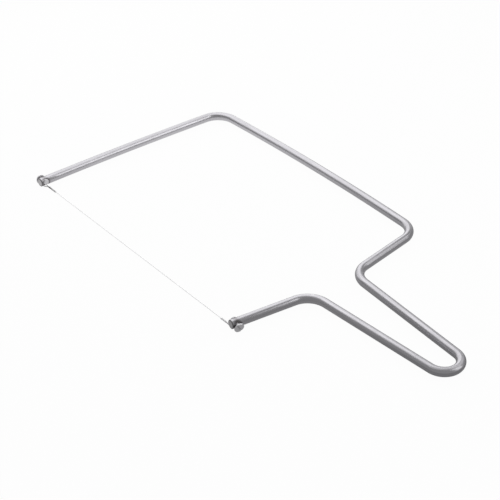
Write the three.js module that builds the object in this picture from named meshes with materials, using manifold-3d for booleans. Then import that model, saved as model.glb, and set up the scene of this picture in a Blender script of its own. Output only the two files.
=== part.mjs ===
// Wire cheese cutter: one bent steel rod carries a taut cutting wire between its two open ends.
// Millimetres, +Z up. X runs along the wire towards the handle, Y from the wire to the long side.
// The origin ends up at the bottom centre of the whole part's bounding box.
import * as THREE from "three";
import { mergeVertices } from "three/addons/utils/BufferGeometryUtils.js";
import Module from "manifold-3d";

// Driving dimensions of the frame, measured along the rod's centre line
const rodDiameter = 6;
const wireSpan = 207.6; // between the two open arms, at their cut ends
const farArmReach = 157.3; // far cut end to the far corner
const farCornerInset = 0.8; // the far arm leans in by this much
const longSideSpan = 204.5; // far corner to near corner
const nearCornerRise = 3.5; // the near corner stands this much further out
const shoulderStep = 9.8; // each shoulder leans out towards the handle
const shoulderDrop = 64.7; // near corner down to the upper shoulder bend
const handleMouth = 34.3; // between the two shoulder bends
const nearArmReach = 57.4; // lower shoulder bend to the near cut end
const handleReach = 106.2; // shoulder bends to the tip of the loop
const loopRadius = 10.7;
const loopOffset = 0.5; // the loop sits this far from the middle of the mouth
const cornerRadius = 15;
const longSideBow = 2.4; // the long side springs outwards under the wire's pull
const farArmBow = 1;
const endChamfer = 0.4;

// Clamp screws, one through each open end
const boreSetback = 3.5; // cut end to the screw's axis
const screwTilt = THREE.MathUtils.degToRad(12); // the heads point down and outwards
const shankDiameter = 3.5; // mean thread diameter of an M4 screw
const tipReach = 0.5; // the screw's tip stands out of the rod by this much
const tipChamfer = 0.4;
const headDiameter = 6.5;
const headSide = 1.1;
const headCrown = 0.4;
const slotWidth = 1;
const slotDepth = 0.8;
const slotTurn = THREE.MathUtils.degToRad(121); // from the rod's direction

// Cutting wire, with an eye round each screw
const wireDiameter = 0.4;
const strandGap = 1.8; // between the wire's two strands under a rod end
const tailLength = 12; // the tail lies along the wire by this much
const tailGap = 0.5; // between the wire and its tail's cut end

// Clearances and overrun
const boreClearance = 0.3; // round a screw's shank
const wireClearance = 0.25; // between the wire and what it lies on
const cutOverrun = 1;

// Facet counts and the weld distance
const rodSides = 20;
const wireSides = 8;
const turnSides = 32;
const degreesPerStep = 9;
const crownSteps = 3;
const bowSteps = 10;
const runSteps = 10;
const eyeSteps = 24;
const bendSteps = 4;
const arcSteps = 3;
const weld = 0.001;

// How a bend between two straights is placed
const bowFillShare = 0.98; // a bow's arc takes this share of the straight that is left
const eyeOpeningAngle = THREE.MathUtils.degToRad(50); // half of the gap in a wire eye
const underRodAngle = THREE.MathUtils.degToRad(33); // how far the wire hugs the rod's underside
const handleShare = 1 / 3; // a bend's control handles, as a share of its chord

const rodRadius = rodDiameter / 2;
const shankRadius = shankDiameter / 2;
const wireRadius = wireDiameter / 2;
const wireOffset = rodRadius + wireClearance + wireRadius; // rod axis to wire axis
const headSeat = wireOffset + wireRadius + wireClearance; // rod axis to the head's underside
const eyeRadius = shankRadius + wireClearance + wireRadius;

const wasm = await Module();
wasm.setup();

// Closed geometry to a solid that can be cut, and back again
function solidOf(geometry) {
  const bare = geometry.clone();
  bare.deleteAttribute("normal");
  bare.deleteAttribute("uv");
  const merged = mergeVertices(bare, weld);
  const mesh = new wasm.Mesh({
    numProp: 3,
    vertProperties: merged.attributes.position.array,
    triVerts: new Uint32Array(merged.index.array),
  });
  return new wasm.Manifold(mesh);
}

function geometryOf(solid) {
  const mesh = solid.getMesh();
  const geometry = new THREE.BufferGeometry();
  geometry.setAttribute("position", new THREE.BufferAttribute(mesh.vertProperties, 3));
  geometry.setIndex(new THREE.BufferAttribute(mesh.triVerts, 1));
  geometry.computeVertexNormals();
  return geometry;
}

// Circular arc in space from a start direction, turning towards a second direction
class Arc extends THREE.Curve {
  constructor(centre, radius, from, towards, sweep) {
    super();
    Object.assign(this, { centre, radius, from, towards, sweep });
  }

  getPoint(t, target = new THREE.Vector3()) {
    const angle = this.sweep * t;
    return target
      .copy(this.centre)
      .addScaledVector(this.from, this.radius * Math.cos(angle))
      .addScaledVector(this.towards, this.radius * Math.sin(angle));
  }

  getTangent(t, target = new THREE.Vector3()) {
    const angle = this.sweep * t;
    return target
      .copy(this.towards)
      .multiplyScalar(Math.cos(angle))
      .addScaledVector(this.from, -Math.sin(angle));
  }
}

// A route of several curves, each with its own number of stations
class Route extends THREE.Curve {
  constructor(pieces) {
    super();
    this.pieces = pieces;
    this.steps = pieces.reduce((sum, piece) => sum + piece.steps, 0);
  }

  locate(t) {
    let station = t * this.steps;
    for (const piece of this.pieces.slice(0, -1)) {
      if (station <= piece.steps) return { curve: piece.curve, local: station / piece.steps };
      station -= piece.steps;
    }
    const last = this.pieces.at(-1);
    return { curve: last.curve, local: Math.min(station / last.steps, 1) };
  }

  getPoint(t, target) {
    const { curve, local } = this.locate(t);
    return curve.getPoint(local, target);
  }

  getPointAt(t, target) {
    return this.getPoint(t, target);
  }

  getTangentAt(t, target) {
    const { curve, local } = this.locate(t);
    return curve.getTangent(local, target);
  }
}

// Regular polygon section with flats, not corners, on its axes
function roundSection(radius, sides) {
  const corner = (k) => {
    const angle = ((k + 0.5) / sides) * 2 * Math.PI;
    return new THREE.Vector2(radius * Math.cos(angle), radius * Math.sin(angle));
  };
  return new THREE.Shape(Array.from({ length: sides }, (_, k) => corner(k)));
}

function sweep(route, radius, sides) {
  return new THREE.ExtrudeGeometry(roundSection(radius, sides), {
    steps: route.steps,
    extrudePath: route,
    bevelEnabled: false,
  });
}

// The frame's outline: its two cut ends, its bends and, at each bow, a very wide bend
function frameOutline() {
  const flat = (x, y) => new THREE.Vector3(x, y, 0);
  const farEnd = flat(0, 0);
  const farCorner = flat(farCornerInset, farArmReach);
  const nearCorner = flat(farCorner.x + longSideSpan, farCorner.y + nearCornerRise);
  const upperShoulder = flat(nearCorner.x + shoulderStep, nearCorner.y - shoulderDrop);
  const lowerShoulder = flat(upperShoulder.x, upperShoulder.y - handleMouth);
  const nearEnd = flat(wireSpan, lowerShoulder.y - nearArmReach);
  const loopCentre = flat(
    upperShoulder.x + handleReach - loopRadius,
    (upperShoulder.y + lowerShoulder.y) / 2 + loopOffset,
  );
  return [
    { at: farEnd },
    { at: bowPoint(farEnd, farCorner, farArmBow), bow: true },
    { at: farCorner, radius: cornerRadius },
    { at: bowPoint(farCorner, nearCorner, longSideBow), bow: true },
    { at: nearCorner, radius: cornerRadius },
    { at: upperShoulder, radius: cornerRadius },
    { at: handleApex(upperShoulder, lowerShoulder, loopCentre), radius: loopRadius },
    { at: lowerShoulder, radius: cornerRadius },
    { at: nearEnd },
  ];
}

// The end tangents of a shallow bow meet at twice its rise, left of its direction
function bowPoint(start, end, rise) {
  const along = end.clone().sub(start).normalize();
  const left = new THREE.Vector3(-along.y, along.x, 0);
  return start.clone().lerp(end, 0.5).addScaledVector(left, 2 * rise);
}

// Where the two tapered handle sides would meet: both run from a shoulder, touching the loop
function handleApex(upper, lower, centre) {
  const tangentFrom = (point, side) => {
    const toCentre = centre.clone().sub(point);
    const turn = side * Math.asin(loopRadius / toCentre.length());
    return toCentre.applyAxisAngle(new THREE.Vector3(0, 0, 1), turn).normalize();
  };
  const a = tangentFrom(upper, 1);
  const b = tangentFrom(lower, -1);
  const gap = lower.clone().sub(upper);
  const reach = (gap.x * b.y - gap.y * b.x) / (a.x * b.y - a.y * b.x);
  return upper.clone().addScaledVector(a, reach);
}

// Length that a bend takes from each of the straights beside it
function tangentLength(before, bend, after) {
  const turn = bend.at.clone().sub(before.at).angleTo(after.at.clone().sub(bend.at));
  return bend.radius * Math.tan(turn / 2);
}

// A bow is as wide as the bends on both sides of it leave room for
function widenBows(outline) {
  const taken = outline.map((bend, k) =>
    bend.radius ? tangentLength(outline[k - 1], bend, outline[k + 1]) : 0,
  );
  outline.forEach((bend, k) => {
    if (!bend.bow) return;
    const [before, after] = [outline[k - 1], outline[k + 1]];
    const room = Math.min(
      bend.at.distanceTo(before.at) - taken[k - 1],
      bend.at.distanceTo(after.at) - taken[k + 1],
    );
    const turn = bend.at.clone().sub(before.at).angleTo(after.at.clone().sub(bend.at));
    bend.radius = (bowFillShare * room) / Math.tan(turn / 2);
  });
  return outline;
}

// Arc that rounds one corner of the outline
function bendArc(before, bend, after) {
  const inward = bend.at.clone().sub(before.at).normalize();
  const outward = after.at.clone().sub(bend.at).normalize();
  const turn = inward.angleTo(outward);
  const start = bend.at.clone().addScaledVector(inward, -tangentLength(before, bend, after));
  const side = Math.sign(inward.x * outward.y - inward.y * outward.x);
  const towardsCentre = new THREE.Vector3(-inward.y, inward.x, 0).multiplyScalar(side);
  const centre = start.clone().addScaledVector(towardsCentre, bend.radius);
  const steps = bend.bow
    ? bowSteps
    : Math.ceil(THREE.MathUtils.radToDeg(turn) / degreesPerStep);
  return { curve: new Arc(centre, bend.radius, towardsCentre.negate(), inward, turn), steps };
}

function rodRoute() {
  const outline = widenBows(frameOutline());
  const pieces = [];
  let here = outline[0].at;
  for (let k = 1; k < outline.length - 1; k++) {
    const arc = bendArc(outline[k - 1], outline[k], outline[k + 1]);
    pieces.push({ curve: new THREE.LineCurve3(here, arc.curve.getPoint(0)), steps: 1 }, arc);
    here = arc.curve.getPoint(1);
  }
  pieces.push({ curve: new THREE.LineCurve3(here, outline.at(-1).at), steps: 1 });
  return new Route(pieces);
}

// Directions at one open end: along the rod into the frame, out along the screw, and up across it
function openEnd(route, t, side) {
  const inward = route.getTangentAt(t, new THREE.Vector3()).multiplyScalar(t ? -1 : 1);
  const cut = route.getPointAt(t, new THREE.Vector3());
  const level = new THREE.Vector3(inward.y, -inward.x, 0).multiplyScalar(side);
  const out = level.clone().multiplyScalar(Math.cos(screwTilt));
  out.z = -Math.sin(screwTilt);
  const up = level.clone().multiplyScalar(Math.sin(screwTilt));
  up.z = Math.cos(screwTilt);
  return { cut, inward, level, out, up, axis: cut.clone().addScaledVector(inward, boreSetback) };
}

const route = rodRoute();
const farEnd = openEnd(route, 0, -1);
const nearEnd = openEnd(route, 1, 1);

// Stands a shape made about the Y axis on a point, its Y along one direction and its X along another
function standOn(geometry, point, alongY, alongX) {
  const alongZ = alongX.clone().cross(alongY);
  const place = new THREE.Matrix4().makeBasis(alongX, alongY, alongZ).setPosition(point);
  return geometry.applyMatrix4(place);
}

// Ring of triangular section that takes the edge off a cut end
function chamferRing(end) {
  const outer = rodRadius + cutOverrun;
  const profile = [
    [rodRadius - endChamfer - cutOverrun, -cutOverrun],
    [outer, -cutOverrun],
    [outer, endChamfer + cutOverrun],
  ].map(([x, y]) => new THREE.Vector2(x, y));
  profile.push(profile[0].clone());
  return standOn(new THREE.LatheGeometry(profile, turnSides), end.cut, end.inward, end.level);
}

function screwBore(end) {
  const radius = shankRadius + boreClearance;
  const length = rodDiameter + 2 * cutOverrun;
  const bore = new THREE.CylinderGeometry(radius, radius, length, turnSides);
  return standOn(bore, end.axis, end.out, end.inward);
}

function frameRod() {
  let rod = solidOf(sweep(route, rodRadius, rodSides));
  for (const end of [farEnd, nearEnd]) {
    rod = rod.subtract(solidOf(screwBore(end)));
    rod = rod.subtract(solidOf(chamferRing(end)));
  }
  return geometryOf(rod);
}

// Slotted screw: chamfered tip, shank and a low crowned head
function clampScrew(end) {
  const crown = Array.from({ length: crownSteps }, (_, k) => {
    const angle = ((k / crownSteps) * Math.PI) / 2;
    return [
      (headDiameter / 2) * Math.cos(angle),
      headSeat + headSide + headCrown * Math.sin(angle),
    ];
  });
  const profile = [
    [0, -rodRadius - tipReach],
    [shankRadius - tipChamfer, -rodRadius - tipReach],
    [shankRadius, -rodRadius - tipReach + tipChamfer],
    [shankRadius, headSeat],
    [headDiameter / 2, headSeat],
    ...crown,
    [0, headSeat + headSide + headCrown],
  ].map(([x, y]) => new THREE.Vector2(x, y));
  const slot = new THREE.BoxGeometry(headDiameter + 2 * cutOverrun, 2 * slotDepth, slotWidth);
  slot.rotateY(slotTurn).translate(0, headSeat + headSide + headCrown, 0);
  const screw = solidOf(new THREE.LatheGeometry(profile, turnSides)).subtract(solidOf(slot));
  return standOn(geometryOf(screw), end.axis, end.out, end.inward);
}

// Half of a wire eye: from under the rod, hugging its underside, then out to the screw's side
function eyeLeg(end, side) {
  const down = new THREE.Vector3(0, 0, -1);
  const across = end.inward.clone().multiplyScalar((side * (strandGap + wireDiameter)) / 2);
  const hug = new Arc(end.axis.clone().add(across), wireOffset, down, end.level, underRodAngle);
  const centre = end.axis.clone().addScaledVector(end.out, wireOffset);
  const beside = end.inward.clone().multiplyScalar(side);
  const eye = new Arc(centre, eyeRadius, end.up.clone().negate(), beside, Math.PI);
  const open = eyeOpeningAngle / Math.PI;
  const [start, finish] = [hug.getPoint(1), eye.getPoint(open)];
  const handle = start.distanceTo(finish) * handleShare;
  const bend = new THREE.CubicBezierCurve3(
    start,
    start.clone().addScaledVector(hug.getTangent(1), handle),
    finish.clone().addScaledVector(eye.getTangent(open), -handle),
    finish,
  );
  return { hug, bend };
}

// The same curve walked from its end to its start
class Reversed extends THREE.Curve {
  constructor(curve) {
    super();
    this.curve = curve;
  }

  getPoint(t, target) {
    return this.curve.getPoint(1 - t, target);
  }

  getTangent(t, target) {
    return this.curve.getTangent(1 - t, target).negate();
  }
}

// One end of the wire, from its tail to where the main run starts, and its direction along the run
function eyePieces(end, mainSide, along) {
  const tail = eyeLeg(end, -mainSide);
  const main = eyeLeg(end, mainSide);
  const centre = end.axis.clone().addScaledVector(end.out, wireOffset);
  const beside = end.inward.clone().multiplyScalar(-mainSide);
  const start = end.up
    .clone()
    .multiplyScalar(-Math.cos(eyeOpeningAngle))
    .addScaledVector(beside, Math.sin(eyeOpeningAngle));
  const towards = end.up
    .clone()
    .multiplyScalar(Math.sin(eyeOpeningAngle))
    .addScaledVector(beside, Math.cos(eyeOpeningAngle));
  const eye = new Arc(centre, eyeRadius, start, towards, 2 * Math.PI - 2 * eyeOpeningAngle);
  const tailEnd = main.hug
    .getPoint(0)
    .addScaledVector(along, tailLength)
    .addScaledVector(beside, tailGap + wireDiameter);
  return [
    { curve: new THREE.LineCurve3(tailEnd, tail.hug.getPoint(0)), steps: 2 },
    { curve: tail.hug, steps: arcSteps },
    { curve: tail.bend, steps: bendSteps },
    { curve: eye, steps: eyeSteps },
    { curve: new Reversed(main.bend), steps: bendSteps },
    { curve: new Reversed(main.hug), steps: arcSteps },
  ];
}

function wireRoute() {
  const runStart = eyeLeg(farEnd, 1).hug.getPoint(0);
  const runEnd = eyeLeg(nearEnd, -1).hug.getPoint(0);
  const along = runEnd.clone().sub(runStart).normalize();
  const far = eyePieces(farEnd, 1, along);
  const near = eyePieces(nearEnd, -1, along.clone().negate())
    .reverse()
    .map(({ curve, steps }) => ({ curve: new Reversed(curve), steps }));
  const run = { curve: new THREE.LineCurve3(runStart, runEnd), steps: runSteps };
  return new Route([...far, run, ...near]);
}

// Least distance between two stretches of the wire that aren't neighbours along it
function leastSelfGap(wire) {
  const points = wire.getPoints(wire.steps * bendSteps);
  const skip = 2 * bendSteps * bendSteps;
  let least = Infinity;
  for (let i = 0; i < points.length; i++) {
    for (let j = i + skip; j < points.length; j++) {
      least = Math.min(least, points[i].distanceTo(points[j]));
    }
  }
  return least - wireDiameter;
}

function cuttingWire() {
  const wire = wireRoute();
  console.log("least gap of the wire to itself: " + leastSelfGap(wire).toFixed(2) + " mm");
  return sweep(wire, wireRadius, wireSides);
}

const brushedSteel = new THREE.MeshStandardMaterial({
  color: 0x9c9aa1,
  metalness: 1,
  roughness: 0.38,
});
const screwSteel = new THREE.MeshStandardMaterial({
  color: 0xaaa8ad,
  metalness: 1,
  roughness: 0.3,
});
const wireSteel = new THREE.MeshStandardMaterial({
  color: 0xc9c8cc,
  metalness: 1,
  roughness: 0.25,
});

function named(name, geometry, material) {
  const mesh = new THREE.Mesh(geometry, material);
  mesh.name = name;
  return mesh;
}

const cutter = new THREE.Group();
cutter.add(
  named("frame_rod", frameRod(), brushedSteel),
  named("cutting_wire", cuttingWire(), wireSteel),
  named("far_clamp_screw", clampScrew(farEnd), screwSteel),
  named("near_clamp_screw", clampScrew(nearEnd), screwSteel),
);

// The bottom centre of the bounding box becomes the origin
const box = new THREE.Box3().setFromObject(cutter, true);
const middle = box.getCenter(new THREE.Vector3());
cutter.position.set(-middle.x, -middle.y, -box.min.z);

export default cutter;
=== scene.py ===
"""Wire cheese cutter: a bent steel rod, a taut cutting wire with twisted tails, and two
slotted screws."""
from math import asin, ceil, cos, degrees, pi, radians, sin, tan

import bmesh
import bpy
import numpy as np
from mathutils import Matrix, Vector


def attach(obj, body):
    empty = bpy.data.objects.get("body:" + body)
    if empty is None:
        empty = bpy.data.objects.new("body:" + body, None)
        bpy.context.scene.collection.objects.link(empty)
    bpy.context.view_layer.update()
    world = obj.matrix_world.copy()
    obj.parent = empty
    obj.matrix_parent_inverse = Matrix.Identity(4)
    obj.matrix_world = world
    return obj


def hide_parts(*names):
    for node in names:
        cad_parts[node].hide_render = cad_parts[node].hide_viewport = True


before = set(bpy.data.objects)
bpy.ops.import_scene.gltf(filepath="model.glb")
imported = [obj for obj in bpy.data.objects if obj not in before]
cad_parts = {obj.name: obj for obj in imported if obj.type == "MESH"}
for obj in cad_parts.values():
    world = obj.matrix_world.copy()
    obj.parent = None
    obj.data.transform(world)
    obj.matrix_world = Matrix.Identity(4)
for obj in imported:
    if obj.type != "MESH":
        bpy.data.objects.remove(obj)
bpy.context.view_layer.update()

MM = 0.001
DOWN = Vector((0.0, 0.0, -1.0))
DOUBLES = 1e-6  # points nearer than this are one point
SLIP = 0.01 * MM  # how far a face may lie from where it is looked for

CAMERA_TARGET = Vector((-5.065, -20.27, 4.2185)) * MM
CAMERA_AZIMUTH = radians(51.226)  # from -Y towards +X
CAMERA_ELEVATION = radians(34.94)
CAMERA_DISTANCE = 903.5 * MM
CAMERA_LENS = 101.16
CAMERA_SENSOR = 36.0
CAMERA_NEAREST = 0.01

# The rod's plan, in millimetres from the centre of its far cut end
PLAN_ORIGIN = Vector((-159.2607, -82.4945, 4.2185)) * MM
FAR_ARM = (0.8, 157.3)
LONG_SIDE = (204.5, 3.5)
DROP = (9.8, -64.7)
MOUTH_WIDTH = 34.3
HANDLE_LENGTH = 106.2
LOOP_RADIUS = 10.7
LOOP_SHIFT = 0.5
NEAR_END_ACROSS = 207.6
NEAR_ARM_REACH = 57.4
BEND_RADIUS = 15
FAR_ARM_BOW = 1.0
LONG_SIDE_BOW = 2.4
BOW_FILL = 0.98  # the share of its two straights that a bow takes up

ROD_RADIUS = 3.0 * MM
ROD_SIDES = 64
BEND_STEP = 3  # degrees
LEAST_BEND_STEPS = 12
END_CHAMFER = 0.4 * MM
CUT_REACH = 1.2 * ROD_RADIUS  # from the middle of a cut end, past its rim
BORE_RADIUS = 2.05 * MM
BORE_SETBACK = 3.5 * MM
BORE_EASE = 0.09 * MM
DRILL_LENGTH = 10 * MM
DRILL_SIDES = 64
SCREW_TILT = radians(12)

PITCH = 0.7 * MM
CREST_RADIUS = 2.0 * MM
ROOT_RADIUS = 1.57 * MM
THREAD_STEPS = 36
LEAD_IN = 1.5  # turns of thread below the tip, trimmed off
TIP = -3.5 * MM
TIP_CHAMFER = 0.5 * MM
TIP_CHAMFER_LENGTH = 0.42 * MM
PAST_TIP = 0.1 * MM  # how far the first cut of the thread leaves it too long
INTO_HEAD = 0.2 * MM
SEAT = 3.9 * MM
LATHE_STEPS = 96
HEAD_RADIUS = 3.25 * MM
HEAD_SIDE = 1.1 * MM
HEAD_CROWN = 0.4 * MM
HEAD_RIM = 0.35 * MM
HEAD_UNDERSIDE_CHAMFER = 0.12 * MM
CROWN_FULLNESS = 1.2
HEAD_EASE = 0.06 * MM
SLOT_WIDTH = 1.0 * MM
SLOT_DEPTH = 0.8 * MM
SLOT_TURN = radians(121)

WIRE_RADIUS = 0.2 * MM
WIRE_OFFSET = 3.45 * MM  # from the rod's axis to the wire's
EYE_RADIUS = 2.24 * MM
EYE_OPENING = radians(50)
HUG_ANGLE = radians(33)
STRAND_OFFSET = 1.1 * MM  # from the screw's axis to either strand under the rod
TWIST_START = 3.9 * MM
TWIST_LENGTH = 8.4 * MM
TWIST_TURNS = 7.5
TWIST_RADIUS = 0.41 * MM
TWIST_STEPS = 20  # to a turn
TWIST_EASE = 0.93  # under 1, the turns lie closer towards the cut end
TWIST_SWELL = 0.12
TWIST_WAVES = 5.1
TAIL_FLARE = 0.225 * MM
FLARE_START = 0.985
HUG_STEPS, LEG_STEPS, EYE_STEPS, LEAD_STEPS, RUN_STEPS = 6, 8, 40, 10, 40

# Colour sockets of a Mix node
MIX_UNDER, MIX_OVER, MIX_RESULT = 6, 7, 2


def add_camera():
    """Camera at the photograph's viewing angle."""
    level = cos(CAMERA_ELEVATION)
    back = Vector((sin(CAMERA_AZIMUTH) * level, -cos(CAMERA_AZIMUTH) * level,
                   sin(CAMERA_ELEVATION)))
    bpy.ops.object.camera_add(location=CAMERA_TARGET + back * CAMERA_DISTANCE)
    camera = bpy.context.object
    camera.name = "product_camera"
    camera.rotation_euler = (-back).to_track_quat("-Z", "Y").to_euler()
    camera.data.sensor_width = CAMERA_SENSOR
    camera.data.lens = CAMERA_LENS
    camera.data.clip_start = CAMERA_NEAREST
    bpy.context.scene.camera = camera


def deselect_all():
    """Leaves edit mode with nothing selected."""
    if bpy.context.mode != "OBJECT":
        bpy.ops.object.mode_set(mode="OBJECT")
    bpy.ops.object.select_all(action="DESELECT")


def pick(piece):
    """Makes a piece the active one, and the only one selected."""
    deselect_all()
    piece.select_set(True)
    bpy.context.view_layer.objects.active = piece


def edit(piece, mode="VERT"):
    """Opens a piece for editing with nothing selected on it."""
    pick(piece)
    bpy.ops.object.mode_set(mode="EDIT")
    bpy.ops.mesh.select_mode(type=mode)
    bpy.ops.mesh.select_all(action="DESELECT")


def select_where(piece, kind, test):
    """Selects the vertices, edges or faces of an open piece that pass a test."""
    mesh = bmesh.from_edit_mesh(piece.data)
    for item in getattr(mesh, kind):
        if test(item):
            item.select_set(True)
    mesh.select_flush_mode()
    bmesh.update_edit_mesh(piece.data)


def extrude_by(step):
    bpy.ops.mesh.extrude_region_move(TRANSFORM_OT_translate={"value": tuple(step)})


def apply_modifier(piece, kind, **settings):
    """Adds one modifier to a piece and applies it."""
    pick(piece)
    modifier = piece.modifiers.new(kind.lower(), kind)
    for name, value in settings.items():
        setattr(modifier, name, value)
    bpy.ops.object.modifier_apply(modifier=modifier.name)


def combine(piece, tool, operation):
    """Cuts a piece with a tool, or keeps what both fill, and puts the tool away."""
    apply_modifier(piece, "BOOLEAN", operation=operation, solver="EXACT", object=tool)
    bpy.data.objects.remove(tool)


def close_up(piece):
    """Merges doubles and turns every face outwards."""
    edit(piece)
    bpy.ops.mesh.select_all(action="SELECT")
    bpy.ops.mesh.remove_doubles(threshold=DOUBLES)
    bpy.ops.mesh.normals_make_consistent(inside=False)
    deselect_all()


def shade(piece, angle):
    """Shades a piece smooth where its faces meet at less than an angle in degrees."""
    pick(piece)
    bpy.ops.object.shade_smooth_by_angle(angle=radians(angle))


def flat(x, y):
    return Vector((x, y, 0.0))


def handle_apex(upper, lower, centre, radius):
    """Where the two tapered handle sides, both touching the loop, would meet."""
    def touching(point, side):
        to_centre = centre - point
        turn = Matrix.Rotation(side * asin(radius / to_centre.length), 3, "Z")
        return (turn @ to_centre).normalized()

    a, b, gap = touching(upper, 1), touching(lower, -1), lower - upper
    return upper + a * ((gap.x * b.y - gap.y * b.x) / (a.x * b.y - a.y * b.x))


def bow_point(start, end, rise):
    """Where the tangents at both ends of a shallow bow meet."""
    along = (end - start).normalized()
    return start.lerp(end, 0.5) + flat(-along.y, along.x) * 2 * rise


def frame_outline():
    """Each corner of the rod's plan with its bend's radius and turn, in millimetres."""
    far_end, far_corner = flat(0, 0), flat(*FAR_ARM)
    near_corner = far_corner + flat(*LONG_SIDE)
    upper = near_corner + flat(*DROP)
    lower = upper + flat(0, -MOUTH_WIDTH)
    loop_centre = flat(upper.x + HANDLE_LENGTH - LOOP_RADIUS,
                       (upper.y + lower.y) / 2 + LOOP_SHIFT)
    points = [
        (far_end, 0), (bow_point(far_end, far_corner, FAR_ARM_BOW), None),
        (far_corner, BEND_RADIUS), (bow_point(far_corner, near_corner, LONG_SIDE_BOW), None),
        (near_corner, BEND_RADIUS), (upper, BEND_RADIUS),
        (handle_apex(upper, lower, loop_centre, LOOP_RADIUS), LOOP_RADIUS),
        (lower, BEND_RADIUS), (flat(NEAR_END_ACROSS, lower.y - NEAR_ARM_REACH), 0),
    ]
    turns = [0] + [
        (b - a).angle(c - b) for (a, _), (b, _), (c, _) in zip(points, points[1:], points[2:])
    ] + [0]
    taken = [r * tan(turn / 2) if r else 0 for (_, r), turn in zip(points, turns)]
    radii = [r for _, r in points]
    for k, (point, r) in enumerate(points):
        if r is None:
            room = min((point - points[j][0]).length - taken[j] for j in (k - 1, k + 1))
            radii[k] = BOW_FILL * room / tan(turns[k] / 2)
    return [(point, r, turn) for (point, _), r, turn in zip(points, radii, turns)]


def rod_sections():
    """The rod's straights and bends in order, in metres."""
    outline = frame_outline()
    sections, here = [], outline[0][0]
    for (before, _, _), (corner, radius, turn), (after, _, _) in zip(
        outline, outline[1:], outline[2:]
    ):
        heading, leaving = (corner - before).normalized(), (after - corner).normalized()
        start = corner - heading * radius * tan(turn / 2)
        side = 1 if heading.cross(leaving).z > 0 else -1
        centre = start + flat(-heading.y, heading.x) * side * radius
        sections.append({"start": here, "heading": heading, "length": (start - here).length})
        sections.append({"start": start, "heading": heading, "length": radius * turn,
                         "centre": centre, "radius": radius, "turn": turn * side})
        here = start + (heading + leaving) * radius * tan(turn / 2)
    last = outline[-1][0]
    sections.append({"start": here, "heading": (last - here).normalized(),
                     "length": (last - here).length})
    travelled = 0.0
    for section in sections:
        for key in ("start", "centre"):
            if key in section:
                section[key] = PLAN_ORIGIN + section[key] * MM
        for key in ("length", "radius"):
            if key in section:
                section[key] *= MM
        section["from"] = travelled
        travelled += section["length"]
    return sections


SECTIONS = rod_sections()


def open_end(point, inward, side):
    """Directions at a cut end: into the rod, level outwards, out along the screw, and up
    across it."""
    level = Vector((inward.y, -inward.x, 0.0)) * side
    return {
        "axis": point + inward * BORE_SETBACK, "cut": point, "inward": inward, "level": level,
        "out": level * cos(SCREW_TILT) + DOWN * sin(SCREW_TILT),
        "up": level * sin(SCREW_TILT) - DOWN * cos(SCREW_TILT),
    }


LAST = SECTIONS[-1]
ROD_LENGTH = LAST["from"] + LAST["length"]
FAR_END = open_end(SECTIONS[0]["start"], SECTIONS[0]["heading"], -1)
NEAR_END = open_end(LAST["start"] + LAST["heading"] * LAST["length"], -LAST["heading"], 1)
ENDS = (FAR_END, NEAR_END)


def end_matrix(end):
    """Stands a shape made along Z on a screw's axis, its X into the rod."""
    across = end["out"].cross(end["inward"])
    return Matrix.Translation(end["axis"]) @ Matrix(
        (end["inward"], across, end["out"])
    ).transposed().to_4x4()


def straightened(points):
    """Where each point of the rod lay before the rod was bent: across it, up, and along it."""
    best = np.full(len(points), np.inf)
    place = np.zeros((len(points), 3))
    for section in SECTIONS:
        heading = np.array(section["heading"])
        side = np.array((-heading[1], heading[0], 0.0))
        offset = points - np.array(section["start"])
        if "centre" in section:
            sign = np.sign(section["turn"])
            spoke = points - np.array(section["centre"])
            angle = np.arctan2(spoke @ heading, spoke @ side * -sign)
            spoke_length = np.hypot(spoke[:, 0], spoke[:, 1])
            along, across = angle * section["radius"], (section["radius"] - spoke_length) * sign
        else:
            along, across = offset @ heading, offset @ side
        beyond = np.maximum(0, np.maximum(-along, along - section["length"]))
        miss = np.hypot(across, beyond)
        nearer = miss < best
        best[nearer] = miss[nearer]
        place[nearer] = np.stack([across, offset[:, 2], along + section["from"]], 1)[nearer]
    return place


def vertex_places(piece):
    flat_list = np.empty(len(piece.data.vertices) * 3)
    piece.data.vertices.foreach_get("co", flat_list)
    return flat_list.reshape(-1, 3)


def own_place(piece, place):
    """Keeps a place for each vertex that the patterns follow."""
    layer = piece.data.attributes.new("own_place", "FLOAT_VECTOR", "POINT")
    layer.data.foreach_set("vector", np.ascontiguousarray(place, dtype=np.float32).ravel())


def frame_rod(steel, cut_steel):
    """One length of rod: a round section extruded along its straights and spun round its
    bends."""
    start = SECTIONS[0]
    deselect_all()
    bpy.ops.mesh.primitive_circle_add(
        vertices=ROD_SIDES, radius=ROD_RADIUS, fill_type="NOTHING", location=start["start"],
        rotation=start["heading"].to_track_quat("Z", "Y").to_euler())
    rod = bpy.context.object
    rod.name = "bent_rod"
    bpy.ops.object.transform_apply(location=True, rotation=True, scale=True)
    edit(rod, "EDGE")
    bpy.ops.mesh.select_all(action="SELECT")
    for section in SECTIONS:
        if "centre" in section:
            steps = max(LEAST_BEND_STEPS, ceil(degrees(abs(section["turn"])) / BEND_STEP))
            bpy.ops.mesh.spin(steps=steps, angle=-section["turn"], center=section["centre"],
                              axis=(0, 0, 1))
        else:
            extrude_by(section["heading"] * section["length"])
    bpy.ops.mesh.select_all(action="DESELECT")
    bpy.ops.mesh.select_non_manifold(extend=False)
    bpy.ops.mesh.edge_face_add()
    close_up(rod)
    round_cut_ends(rod)
    for end in ENDS:
        combine(rod, drill(end), "DIFFERENCE")
        ease_bore(rod, end)
    own_place(rod, straightened(vertex_places(rod)))
    shade(rod, 28)
    rod.data.materials.append(steel)
    rod.data.materials.append(cut_steel)
    for face in rod.data.polygons:
        for end in ENDS:
            offset = face.center - end["cut"]
            if offset.length < CUT_REACH and offset.dot(end["inward"]) < END_CHAMFER:
                face.material_index = 1
    return rod


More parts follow.
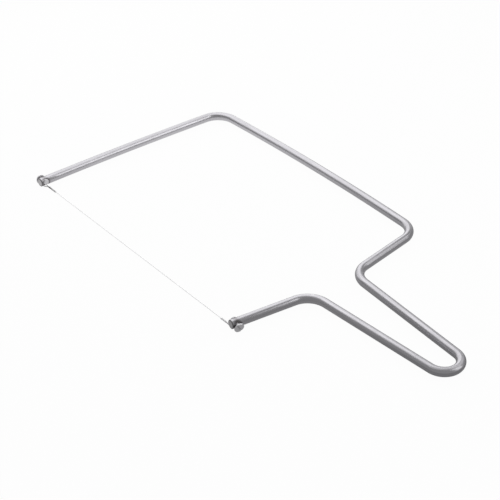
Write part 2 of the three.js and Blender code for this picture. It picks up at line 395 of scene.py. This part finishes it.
def round_cut_ends(rod):
    """Takes the sharp edge off each cut end."""
    for end in ENDS:
        edit(rod, "FACE")
        select_where(rod, "faces", lambda face: len(face.verts) > 8 and abs(
            (face.calc_center_median() - end["cut"]).dot(end["inward"])) < SLIP)
        bpy.ops.mesh.region_to_loop()
        bpy.ops.mesh.bevel(offset=END_CHAMFER, segments=3, profile=0.42)
    deselect_all()


def drill(end):
    """A cylinder of the bore's size, standing through one rod end."""
    deselect_all()
    bpy.ops.mesh.primitive_cylinder_add(
        vertices=DRILL_SIDES, radius=BORE_RADIUS, depth=DRILL_LENGTH)
    tool = bpy.context.object
    tool.data.transform(end_matrix(end))
    return tool


def ease_bore(rod, end):
    """Breaks the sharp rim where the bore meets the rod's skin."""
    def lies_round(place, axis, radius):
        return abs((place - axis * place.dot(axis)).length - radius) < 3 * SLIP

    def on_rim(edge):
        places = [v.co - end["axis"] for v in edge.verts]
        return all(lies_round(p, end["out"], BORE_RADIUS)
                   and lies_round(p, end["inward"], ROD_RADIUS) for p in places)

    edit(rod, "EDGE")
    select_where(rod, "edges", on_rim)
    bpy.ops.mesh.bevel(offset=BORE_EASE, segments=2, profile=0.5)
    deselect_all()


def chain(name, points):
    """An open chain of edges, drawn point by point."""
    deselect_all()
    bpy.ops.mesh.primitive_plane_add(size=MM)
    line = bpy.context.object
    line.name = name
    edit(line)
    bpy.ops.mesh.select_all(action="SELECT")
    bpy.ops.mesh.merge(type="CENTER")
    bpy.ops.transform.translate(value=tuple(points[0]))
    for before, after in zip(points, points[1:]):
        extrude_by(after - before)
    return line


def turned(name, profile):
    """A shape turned on a lathe about Z from a profile of radius and height."""
    shape = chain(name, [Vector((r, 0.0, z)) for r, z in profile])
    bpy.ops.mesh.select_all(action="SELECT")
    bpy.ops.mesh.spin(steps=LATHE_STEPS, angle=2 * pi, center=(0, 0, 0), axis=(0, 0, 1))
    close_up(shape)
    return shape


def screw_head():
    """Low round head with a crowned face, a rounded rim and a sawn slot."""
    side_top = SEAT + HEAD_SIDE
    top = side_top + HEAD_CROWN
    profile = [(0.0, SEAT), (HEAD_RADIUS - HEAD_UNDERSIDE_CHAMFER, SEAT),
               (HEAD_RADIUS, SEAT + HEAD_UNDERSIDE_CHAMFER)]
    profile += [
        (HEAD_RADIUS - HEAD_RIM * (1 - cos(a)), side_top - HEAD_RIM + HEAD_RIM * sin(a))
        for a in (radians(d) for d in (0, 20, 40, 60))]
    edge_radius, edge_height = profile[-1]
    rise = top - edge_height
    profile += [(edge_radius * cos(a), edge_height + rise * sin(a) ** CROWN_FULLNESS)
                for a in (radians(d) for d in range(10, 90, 10))]
    profile.append((0.0, top))
    head = turned("screw_head", profile)
    deselect_all()
    bpy.ops.mesh.primitive_cube_add(size=1.0)
    saw = bpy.context.object
    saw.data.transform(Matrix.Translation((0, 0, top)) @ Matrix.Diagonal(
        (3 * HEAD_RADIUS, SLOT_WIDTH, 2 * SLOT_DEPTH, 1)))
    combine(head, saw, "DIFFERENCE")
    apply_modifier(head, "BEVEL", width=HEAD_EASE, segments=2, limit_method="ANGLE",
                   angle_limit=radians(50), use_clamp_overlap=True)
    return head


def screw_shank():
    """Threaded shank: one thread profile wound up its length, trimmed to a chamfered tip."""
    flank = PITCH * 5 / 16
    profile = [(CREST_RADIUS, 0), (CREST_RADIUS, PITCH / 8), (ROOT_RADIUS, PITCH / 8 + flank),
               (ROOT_RADIUS, PITCH * 3 / 8 + flank), (CREST_RADIUS, PITCH)]
    base = TIP - LEAD_IN * PITCH
    thread = chain("thread", [Vector((r, 0.0, z + base)) for r, z in profile])
    turns = ceil((SEAT - base) / PITCH) + 1
    apply_modifier(thread, "SCREW", angle=2 * pi, screw_offset=PITCH, iterations=turns,
                   steps=THREAD_STEPS, render_steps=THREAD_STEPS, use_merge_vertices=True,
                   merge_threshold=DOUBLES)
    close_up(thread)
    for height, up in ((TIP - PAST_TIP, 1), (SEAT + INTO_HEAD, -1)):
        edit(thread)
        bpy.ops.mesh.select_all(action="SELECT")
        bpy.ops.mesh.bisect(plane_co=(0, 0, height), plane_no=(0, 0, up), use_fill=True,
                            clear_inner=True, clear_outer=False)
    close_up(thread)
    blank_radius, blank_top = CREST_RADIUS + 0.02 * MM, SEAT + 0.15 * MM
    blank = turned("screw_blank", [
        (0.0, TIP), (CREST_RADIUS - TIP_CHAMFER, TIP), (blank_radius, TIP + TIP_CHAMFER_LENGTH),
        (blank_radius, blank_top), (0.0, blank_top)])
    combine(thread, blank, "INTERSECT")
    return thread


def clamp_screws(steel, slot_steel):
    """The far screw, and a copy of it for the near end."""
    far, head = screw_shank(), screw_head()
    head.data.transform(Matrix.Rotation(SLOT_TURN, 4, "Z"))
    pick(far)
    head.select_set(True)
    bpy.ops.object.join()
    own_place(far, vertex_places(far))
    shade(far, 32)
    far.data.materials.append(steel)
    far.data.materials.append(slot_steel)
    across = Vector((-sin(SLOT_TURN), cos(SLOT_TURN), 0))
    slot_floor = SEAT + HEAD_SIDE + HEAD_CROWN - SLOT_DEPTH
    # The slot's faces take the second, darker steel: painted shade in the slot.
    for face in far.data.polygons:
        above = face.center.z > slot_floor - 2 * SLIP
        if above and abs(face.center.dot(across)) < SLOT_WIDTH / 2 + SLIP:
            face.material_index = 1
    near = far.copy()
    near.data = far.data.copy()
    bpy.context.scene.collection.objects.link(near)
    for screw, end, name in ((far, FAR_END, "far_screw"), (near, NEAR_END, "near_screw")):
        screw.name = name
        screw.data.transform(end_matrix(end))
    return far, near


def arc(centre, start, towards, radius, sweep, steps):
    return [centre + (start * cos(a) + towards * sin(a)) * radius
            for a in (sweep * k / steps for k in range(steps + 1))]


def bezier(a, b, c, d, steps):
    return [a * (1 - t) ** 3 + b * 3 * t * (1 - t) ** 2 + c * 3 * t * t * (1 - t) + d * t ** 3
            for t in (k / steps for k in range(steps + 1))]


def strand_foot(end, side):
    """The lowest point of a strand under the rod, beside the screw."""
    return end["axis"] + end["inward"] * side * STRAND_OFFSET + DOWN * WIRE_OFFSET


def wire_leg(end, side):
    """From the wire's lowest point under the rod to where its eye round the screw opens."""
    across = end["inward"] * side * STRAND_OFFSET
    hug = arc(end["axis"] + across, DOWN, end["level"], WIRE_OFFSET, HUG_ANGLE, HUG_STEPS)
    heading = end["level"] * cos(HUG_ANGLE) - DOWN * sin(HUG_ANGLE)
    centre, beside = end["axis"] + end["out"] * WIRE_OFFSET, end["inward"] * side
    opening = centre + (beside * sin(EYE_OPENING) - end["up"] * cos(EYE_OPENING)) * EYE_RADIUS
    arriving = beside * cos(EYE_OPENING) + end["up"] * sin(EYE_OPENING)
    handle = (opening - hug[-1]).length / 3
    bend = bezier(hug[-1], hug[-1] + heading * handle, opening - arriving * handle, opening,
                  LEG_STEPS)
    return hug + bend[1:]


def twisted_tail(end, start, along, side):
    """From the tail's cut end, wound round the taut strand, back to its lowest point under
    the rod."""
    across = DOWN.cross(along).normalized()
    if across.dot(end["inward"]) * side < 0:
        across.negate()
    steps = int(TWIST_TURNS * TWIST_STEPS)
    coil = []
    for k in range(steps + 1):
        share = k / steps
        angle = 2 * pi * TWIST_TURNS * share
        swell = TWIST_RADIUS * (1 + TWIST_SWELL * sin(TWIST_WAVES * share * pi))
        flare = TAIL_FLARE * max(0, share - FLARE_START) / (1 - FLARE_START)
        spoke = across * cos(angle) + DOWN * sin(angle)
        reach = TWIST_START + TWIST_LENGTH * share ** TWIST_EASE
        coil.append(start + along * reach + spoke * (swell + flare))
    foot = strand_foot(end, side)
    arriving = (along * 0.2 + DOWN * 0.45) * MM
    lead = bezier(foot, foot + along * 1.9 * MM, coil[0] - arriving, coil[0], LEAD_STEPS)
    return list(reversed(lead + coil[1:]))


def wire_end(end, main_side, start, along):
    """One end of the wire: twisted tail, strand under the rod, eye round the screw, and back."""
    tail, main = wire_leg(end, -main_side), wire_leg(end, main_side)
    centre, beside = end["axis"] + end["out"] * WIRE_OFFSET, -end["inward"] * main_side
    opening = beside * sin(EYE_OPENING) - end["up"] * cos(EYE_OPENING)
    onwards = beside * cos(EYE_OPENING) + end["up"] * sin(EYE_OPENING)
    eye = arc(centre, opening, onwards, EYE_RADIUS, 2 * pi - 2 * EYE_OPENING, EYE_STEPS)
    points = twisted_tail(end, start, along, -main_side)
    return points + tail[1:] + eye[1:] + list(reversed(main))[1:]


def cutting_wire(steel):
    """Taut thin wire with an eye round each screw and its tails wound round it."""
    far_foot, near_foot = strand_foot(FAR_END, 1), strand_foot(NEAR_END, -1)
    along = (near_foot - far_foot).normalized()
    far = wire_end(FAR_END, 1, far_foot, along)
    near = wire_end(NEAR_END, -1, near_foot, -along)
    run = [far_foot.lerp(near_foot, k / RUN_STEPS) for k in range(1, RUN_STEPS)]
    points = far + run + list(reversed(near))
    curve = bpy.data.curves.new("wire_strand", "CURVE")
    curve.dimensions = "3D"
    curve.bevel_depth = WIRE_RADIUS
    curve.bevel_resolution = 3
    curve.use_fill_caps = True
    spline = curve.splines.new("POLY")
    spline.points.add(len(points) - 1)
    for knot, point in zip(spline.points, points):
        knot.co = (*point, 1.0)
    strand = bpy.data.objects.new("wire_strand", curve)
    bpy.context.scene.collection.objects.link(strand)
    pick(strand)
    bpy.ops.object.convert(target="MESH")
    close_up(strand)
    own_place(strand, vertex_places(strand))
    shade(strand, 50)
    strand.data.materials.append(steel)
    return strand


def add(tree, kind, inputs=None, **settings):
    """A shader node with its settings, each input either set to a value or linked."""
    node = tree.nodes.new("ShaderNode" + kind)
    for name, value in settings.items():
        setattr(node, name, value)
    for name, value in (inputs or {}).items():
        if isinstance(value, bpy.types.NodeSocket):
            tree.links.new(value, node.inputs[name])
        else:
            node.inputs[name].default_value = value
    return node


def new_group(name, vectors, numbers, masks):
    """A node group with named vector and number inputs and mask outputs, ready to be filled."""
    group = bpy.data.node_groups.new(name, "ShaderNodeTree")

    def socket(label, side, kind):
        return group.interface.new_socket(label, in_out=side, socket_type="NodeSocket" + kind)

    for label in vectors:
        socket(label, "INPUT", "Vector")
    for label, value in numbers.items():
        socket(label, "INPUT", "Float").default_value = value
    for label in masks:
        socket(label, "OUTPUT", "Float")
    given, result = group.nodes.new("NodeGroupInput"), group.nodes.new("NodeGroupOutput")
    return group, given.outputs, result.inputs


def drawn_grain_group():
    """Fine streaks along a drawn rod or wire, in the place it had before it was bent."""
    group, given, result = new_group(
        "drawn_grain", ["Place"], {"Fineness": 9000.0, "Stretch": 0.02}, ["Streaks", "Bands"])
    scaled = add(group, "VectorMath", {0: given["Place"], "Scale": given["Fineness"]},
                 operation="SCALE")
    squeeze = add(group, "CombineXYZ", {"X": 1.0, "Y": 1.0, "Z": given["Stretch"]})
    stretched = add(group, "VectorMath", {0: scaled.outputs[0], 1: squeeze.outputs[0]},
                    operation="MULTIPLY")
    for label, scale, detail in (("Streaks", 1.0, 5.0), ("Bands", 0.16, 3.0)):
        noise = add(group, "TexNoise", {"Vector": stretched.outputs[0], "Scale": scale,
                                        "Detail": detail, "Roughness": 0.6})
        group.links.new(noise.outputs["Fac"], result[label])
    return group


def handling_group():
    """Faint smudges from hands, and short scratches in many directions."""
    group, given, result = new_group(
        "handling_marks", ["Place"], {"Smudge Fineness": 60.0, "Scratch Fineness": 900.0},
        ["Smudges", "Scratches"])
    cloud = add(group, "TexNoise", {
        "Vector": given["Place"], "Scale": given["Smudge Fineness"], "Detail": 4.0,
        "Roughness": 0.55, "Distortion": 0.6})
    soft = add(group, "MapRange", {"Value": cloud.outputs["Fac"], "From Min": 0.42,
                                   "From Max": 0.68}, interpolation_type="SMOOTHSTEP")
    group.links.new(soft.outputs["Result"], result["Smudges"])
    marks = []
    for turn, squash in (
        ((0.3, 0.2, 0.5), 0.05), ((1.1, -0.4, 1.3), 0.04), ((-0.6, 0.9, -0.2), 0.06)
    ):
        placed = add(group, "Mapping", {"Vector": given["Place"], "Rotation": turn,
                                        "Scale": (1.0, 1.0, squash)})
        lines = add(group, "TexNoise", {
            "Vector": placed.outputs["Vector"], "Scale": given["Scratch Fineness"],
            "Detail": 1.0, "Roughness": 0.4})
        thin = add(group, "MapRange", {"Value": lines.outputs["Fac"], "From Min": 0.70,
                                       "From Max": 0.78})
        marks.append(thin.outputs["Result"])
    both = add(group, "Math", {0: marks[0], 1: marks[1]}, operation="MAXIMUM")
    every = add(group, "Math", {0: both.outputs[0], 1: marks[2]}, operation="MAXIMUM")
    group.links.new(every.outputs[0], result["Scratches"])
    return group


def edge_wear_and_hollow_shade_group():
    """Bright rubbed edges, and hollows darkened with grime and painted shade, from how the
    surface turns.
    """
    group, given, result = new_group(
        "edge_wear_and_hollow_shade", ["Place"], {"Patchiness": 1500.0}, ["Rubbed", "Grime and Shade"])
    shape = add(group, "NewGeometry")
    patches = add(group, "TexNoise", {"Vector": given["Place"], "Scale": given["Patchiness"],
                                      "Detail": 3.0, "Roughness": 0.6})
    for label, low, high in (("Rubbed", 0.53, 0.60), ("Grime and Shade", 0.48, 0.42)):
        mask = add(group, "MapRange", {"Value": shape.outputs["Pointiness"], "From Min": low,
                                       "From Max": high})
        broken = add(group, "Math", {0: mask.outputs["Result"], 1: patches.outputs["Fac"]},
                     operation="MULTIPLY")
        group.links.new(broken.outputs[0], result[label])
    return group


def turned_rings_group():
    """Concentric tool marks round a screw's axis."""
    group, given, result = new_group(
        "turned_rings", ["Place"], {"Ring Pitch": 0.00012}, ["Rings"])
    level = add(group, "VectorMath", {0: given["Place"], 1: (1.0, 1.0, 0.0)},
                operation="MULTIPLY")
    radius = add(group, "VectorMath", {0: level.outputs[0]}, operation="LENGTH")
    count = add(group, "Math", {0: radius.outputs["Value"], 1: given["Ring Pitch"]},
                operation="DIVIDE")
    rings = add(group, "TexNoise", {"W": count.outputs[0], "Scale": 1.0, "Detail": 2.0},
                noise_dimensions="1D")
    group.links.new(rings.outputs["Fac"], result["Rings"])
    return group


def shade_and_tarnish_group():
    """Steel that darkens from one distance to another, both measured from a middle: painted
    shade round the rod's bores and cut ends, and the wire's darker ends.
    """
    group, given, result = new_group(
        "shade_and_tarnish", ["Place", "Middle", "Across"], {"Clean": 0.0, "Dark": 1.0}, ["Tarnish"])
    offset = add(group, "VectorMath", {0: given["Place"], 1: given["Middle"]},
                 operation="SUBTRACT")
    counted = add(group, "VectorMath", {0: offset.outputs[0], 1: given["Across"]},
                  operation="MULTIPLY")
    distance = add(group, "VectorMath", {0: counted.outputs[0]}, operation="LENGTH")
    share = add(group, "MapRange", {"Value": distance.outputs["Value"],
                                    "From Min": given["Clean"], "From Max": given["Dark"]})
    blotches = add(group, "TexNoise", {"Vector": given["Place"], "Scale": 700.0, "Detail": 3.0})
    patchy = add(group, "MapRange", {"Value": blotches.outputs["Fac"], "From Min": 0.3,
                                     "From Max": 0.6, "To Min": 0.7})
    both = add(group, "Math", {0: share.outputs["Result"], 1: patchy.outputs["Result"]},
               operation="MULTIPLY")
    group.links.new(both.outputs[0], result["Tarnish"])
    return group


def blended(tree, mask, under, over, blend_type="MIX"):
    """A colour laid over another where a mask lets it show."""
    mix = add(tree, "Mix", {"Factor": mask, MIX_UNDER: under, MIX_OVER: over},
              data_type="RGBA", blend_type=blend_type)
    return mix.outputs[MIX_RESULT]


def steel_material(name, effects, tones, roughness, grain_depth, metallic=1.0, rings=False,
                   shade_and_tarnish=()):
    """Stainless steel: tone, gloss and relief from its grain, smudges, scratches and worn
    edges, with grime and painted shade in its hollows and any darker patches it is given."""
    material = bpy.data.materials.new(name)
    material.use_nodes = True
    tree = material.node_tree
    shader = tree.nodes["Principled BSDF"]
    shader.inputs["Metallic"].default_value = metallic
    place = add(tree, "Attribute", attribute_name="own_place").outputs["Vector"]

    def effect(key, **values):
        return add(tree, "Group", {"Place": place, **values}, node_tree=effects[key]).outputs

    grain, marks, wear_and_shade = (effect(key) for key in ("drawn_grain", "handling_marks", "edge_wear_and_hollow_shade"))
    fine = effect("turned_rings")["Rings"] if rings else grain["Streaks"]

    colour = blended(tree, grain["Bands"], *tones)
    colour = blended(tree, fine, colour, (0.86, 0.86, 0.87, 1), "MULTIPLY")
    colour = blended(tree, wear_and_shade["Rubbed"], colour, (0.80, 0.79, 0.80, 1))
    # Grime and painted shade: hollows and inner corners turn dark.
    colour = blended(tree, wear_and_shade["Grime and Shade"], colour, (0.16, 0.15, 0.15, 1))
    # Darker patches a material is given: painted shade round the rod's bores and cut ends, and a
    # darker stretch at each end of the wire.
    for patch in shade_and_tarnish:
        mask = effect("shade_and_tarnish", **patch)["Tarnish"]
        colour = blended(tree, mask, colour, (0.14, 0.13, 0.13, 1))
    tree.links.new(colour, shader.inputs["Base Color"])

    base_gloss = add(tree, "MapRange", {"Value": fine, "From Min": 0.3, "From Max": 0.7,
                                        "To Min": roughness[0], "To Max": roughness[1]})
    gloss = base_gloss.outputs["Result"]
    for mask, dulling in ((marks["Smudges"], 0.07), (marks["Scratches"], 0.12)):
        gloss = add(tree, "Math", {0: mask, 1: dulling, 2: gloss},
                    operation="MULTIPLY_ADD").outputs[0]
    tree.links.new(gloss, shader.inputs["Roughness"])

    scratch_depth = -0.8  # of the grain's own height
    relief = add(tree, "Math", {0: marks["Scratches"], 1: scratch_depth, 2: fine},
                 operation="MULTIPLY_ADD")
    bump = add(tree, "Bump", {"Strength": 0.5, "Distance": grain_depth,
                              "Height": relief.outputs[0]})
    tree.links.new(bump.outputs["Normal"], shader.inputs["Normal"])
    return material


def shown_to_camera(tree, mirrored, seen):
    """One shader for what the camera sees, another for what the steel mirrors."""
    path = add(tree, "LightPath")
    return add(tree, "MixShader", {
        0: path.outputs["Is Camera Ray"], 1: mirrored.outputs[0], 2: seen.outputs[0]}).outputs[0]


def add_floor():
    """Plain pale floor: clean white to look at; to what the steel mirrors it glows itself, a
    painted pool of soft light beside the far arm.
    """
    deselect_all()
    bpy.ops.mesh.primitive_plane_add(size=8.0)
    floor = bpy.context.object
    floor.name = "studio_floor"
    material = bpy.data.materials.new("studio_floor_white")
    material.use_nodes = True
    tree = material.node_tree
    tree.nodes.remove(tree.nodes["Principled BSDF"])
    # Painted light: the floor glows, brightest beside the far arm and dimmer further out.
    spot = add(tree, "NewGeometry")
    away = add(tree, "VectorMath", {0: spot.outputs["Position"], 1: (-0.16, 0.03, 0.0)},
               operation="DISTANCE")
    pool = add(tree, "MapRange", {"Value": away.outputs["Value"], "From Min": 0.0,
                                  "From Max": 0.3, "To Min": 0.85, "To Max": 0.27},
               interpolation_type="SMOOTHSTEP")
    painted_glow = add(tree, "Emission", {"Strength": pool.outputs["Result"]})
    paper, white = add(tree, "BsdfDiffuse"), add(tree, "Emission")
    shaded = add(tree, "MixShader", {0: 0.97, 1: paper.outputs[0], 2: white.outputs[0]})
    tree.links.new(shown_to_camera(tree, painted_glow, shaded),
                   tree.nodes["Material Output"].inputs["Surface"])
    floor.data.materials.append(material)


def around(azimuth, elevation, distance=1.0):
    """A place round the object: azimuth from +X towards +Y, in degrees."""
    a, e = radians(azimuth), radians(elevation)
    return Vector((cos(e) * cos(a), cos(e) * sin(a), sin(e))) * distance


def add_softbox(name, place, size, brightness):
    """A rectangular area light turned to the object, out of the camera's sight."""
    deselect_all()
    bpy.ops.object.light_add(type="AREA", location=place)
    light = bpy.context.object
    light.name = name
    light.data.shape = "RECTANGLE"
    light.data.size, light.data.size_y = size
    light.data.energy = 4 * size[0] * size[1] * brightness
    light.rotation_euler = (-place).to_track_quat("-Z", "Y").to_euler()
    light.visible_camera = False


def add_room():
    """Dim room with a soft bright backdrop beyond the long side and a soft bright ceiling."""
    world = bpy.data.worlds.new("soft_studio")
    bpy.context.scene.world = world
    world.use_nodes = True
    tree = world.node_tree
    direction = add(tree, "TexCoord")
    glows = []
    for centre, dim, bright in ((around(135, 6), 0.345, 0.79), (around(180, 66), 0.0, 0.4)):
        facing = add(tree, "VectorMath", {0: direction.outputs["Generated"], 1: centre},
                     operation="DOT_PRODUCT")
        glow = add(tree, "MapRange", {"Value": facing.outputs["Value"], "From Min": 0.788,
                                      "From Max": 0.995, "To Min": dim, "To Max": bright},
                   interpolation_type="SMOOTHSTEP")
        glows.append(glow.outputs["Result"])
    both = add(tree, "Math", {0: glows[0], 1: glows[1]}, operation="ADD")
    room = tree.nodes["Background"]
    room.inputs["Color"].default_value = (1, 1, 1, 1)
    tree.links.new(both.outputs[0], room.inputs["Strength"])
    white = add(tree, "Background", {"Color": (1, 1, 1, 1)})
    tree.links.new(shown_to_camera(tree, room, white),
                   tree.nodes["World Output"].inputs["Surface"])


def add_studio():
    """Soft studio: a softbox close over the far arm, two beyond the long side, a dim room."""
    add_floor()
    add_softbox("key_softbox", around(164, 43, 0.35), (0.51, 0.52), 0.61)
    add_softbox("back_softbox", around(40, 37, 1.6), (0.8, 1.25), 0.78)
    add_softbox("side_softbox", Vector((0.12, 0.23, 0.25)), (0.2, 0.2), 0.43)
    add_room()
    bpy.context.scene.view_settings.view_transform = "Standard"


add_camera()
effects = {"drawn_grain": drawn_grain_group(), "handling_marks": handling_group(),
           "edge_wear_and_hollow_shade": edge_wear_and_hollow_shade_group(), "turned_rings": turned_rings_group(),
           "shade_and_tarnish": shade_and_tarnish_group()}
# Painted shade: the rod darkens round the mouth of each bore, beside its screw.
painted_shade_round_bores = [dict(Middle=(0, 0, along), Across=(0, 1, 1), Clean=3.6 * MM, Dark=2.4 * MM)
               for along in (BORE_SETBACK, ROD_LENGTH - BORE_SETBACK)]
# Painted shade and dark reflection: each cut end face darkens towards its rim.
painted_shade_cut_rim = [dict(Middle=(0, 0, 0), Across=(1, 1, 0), Clean=2.3 * MM, Dark=2.7 * MM)]
# The wire darkens towards each end, along its twisted tails.
wire_ends = [dict(Middle=(-50.0 * MM, 0, 0), Across=(1, 0, 0), Clean=95.3 * MM,
                  Dark=107.3 * MM)]
rod_steel = steel_material(
    "satin_rod_steel", effects, tones=((0.69, 0.68, 0.71, 1), (0.46, 0.45, 0.47, 1)),
    roughness=(0.20, 0.34), grain_depth=0.01 * MM, shade_and_tarnish=painted_shade_round_bores)
cut_steel = steel_material(
    "sawn_end_steel", effects, tones=((0.78, 0.77, 0.78, 1), (0.68, 0.67, 0.68, 1)),
    roughness=(0.42, 0.58), grain_depth=0.03 * MM, shade_and_tarnish=painted_shade_cut_rim)
screw_steel = steel_material(
    "turned_screw_steel", effects, tones=((0.95, 0.94, 0.96, 1), (0.85, 0.84, 0.86, 1)),
    roughness=(0.34, 0.50), grain_depth=0.01 * MM, metallic=0.85, rings=True)
# Painted shade: the slot's faces are a darker steel than the rest of the head.
slot_steel = steel_material(
    "slot_steel_painted_shade", effects, tones=((0.80, 0.79, 0.80, 1), (0.68, 0.67, 0.68, 1)),
    roughness=(0.46, 0.60), grain_depth=0.02 * MM)
wire_steel = steel_material(
    "hard_wire_steel", effects, tones=((1.0, 1.0, 1.0, 1), (0.94, 0.94, 0.95, 1)),
    roughness=(0.16, 0.26), grain_depth=0.004 * MM, shade_and_tarnish=wire_ends)

rod = frame_rod(rod_steel, cut_steel)
far_screw, near_screw = clamp_screws(screw_steel, slot_steel)
wire = cutting_wire(wire_steel)
for piece, body, node, slot in (
    (rod, "frame", "frame_rod", "brushed_rod_steel"),
    (wire, "frame", "cutting_wire", "wire_steel"),
    (far_screw, "far_screw", "far_clamp_screw", "screw_steel"),
    (near_screw, "near_screw", "near_clamp_screw", "screw_steel"),
):
    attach(piece, body)
    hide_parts(node)
add_studio()
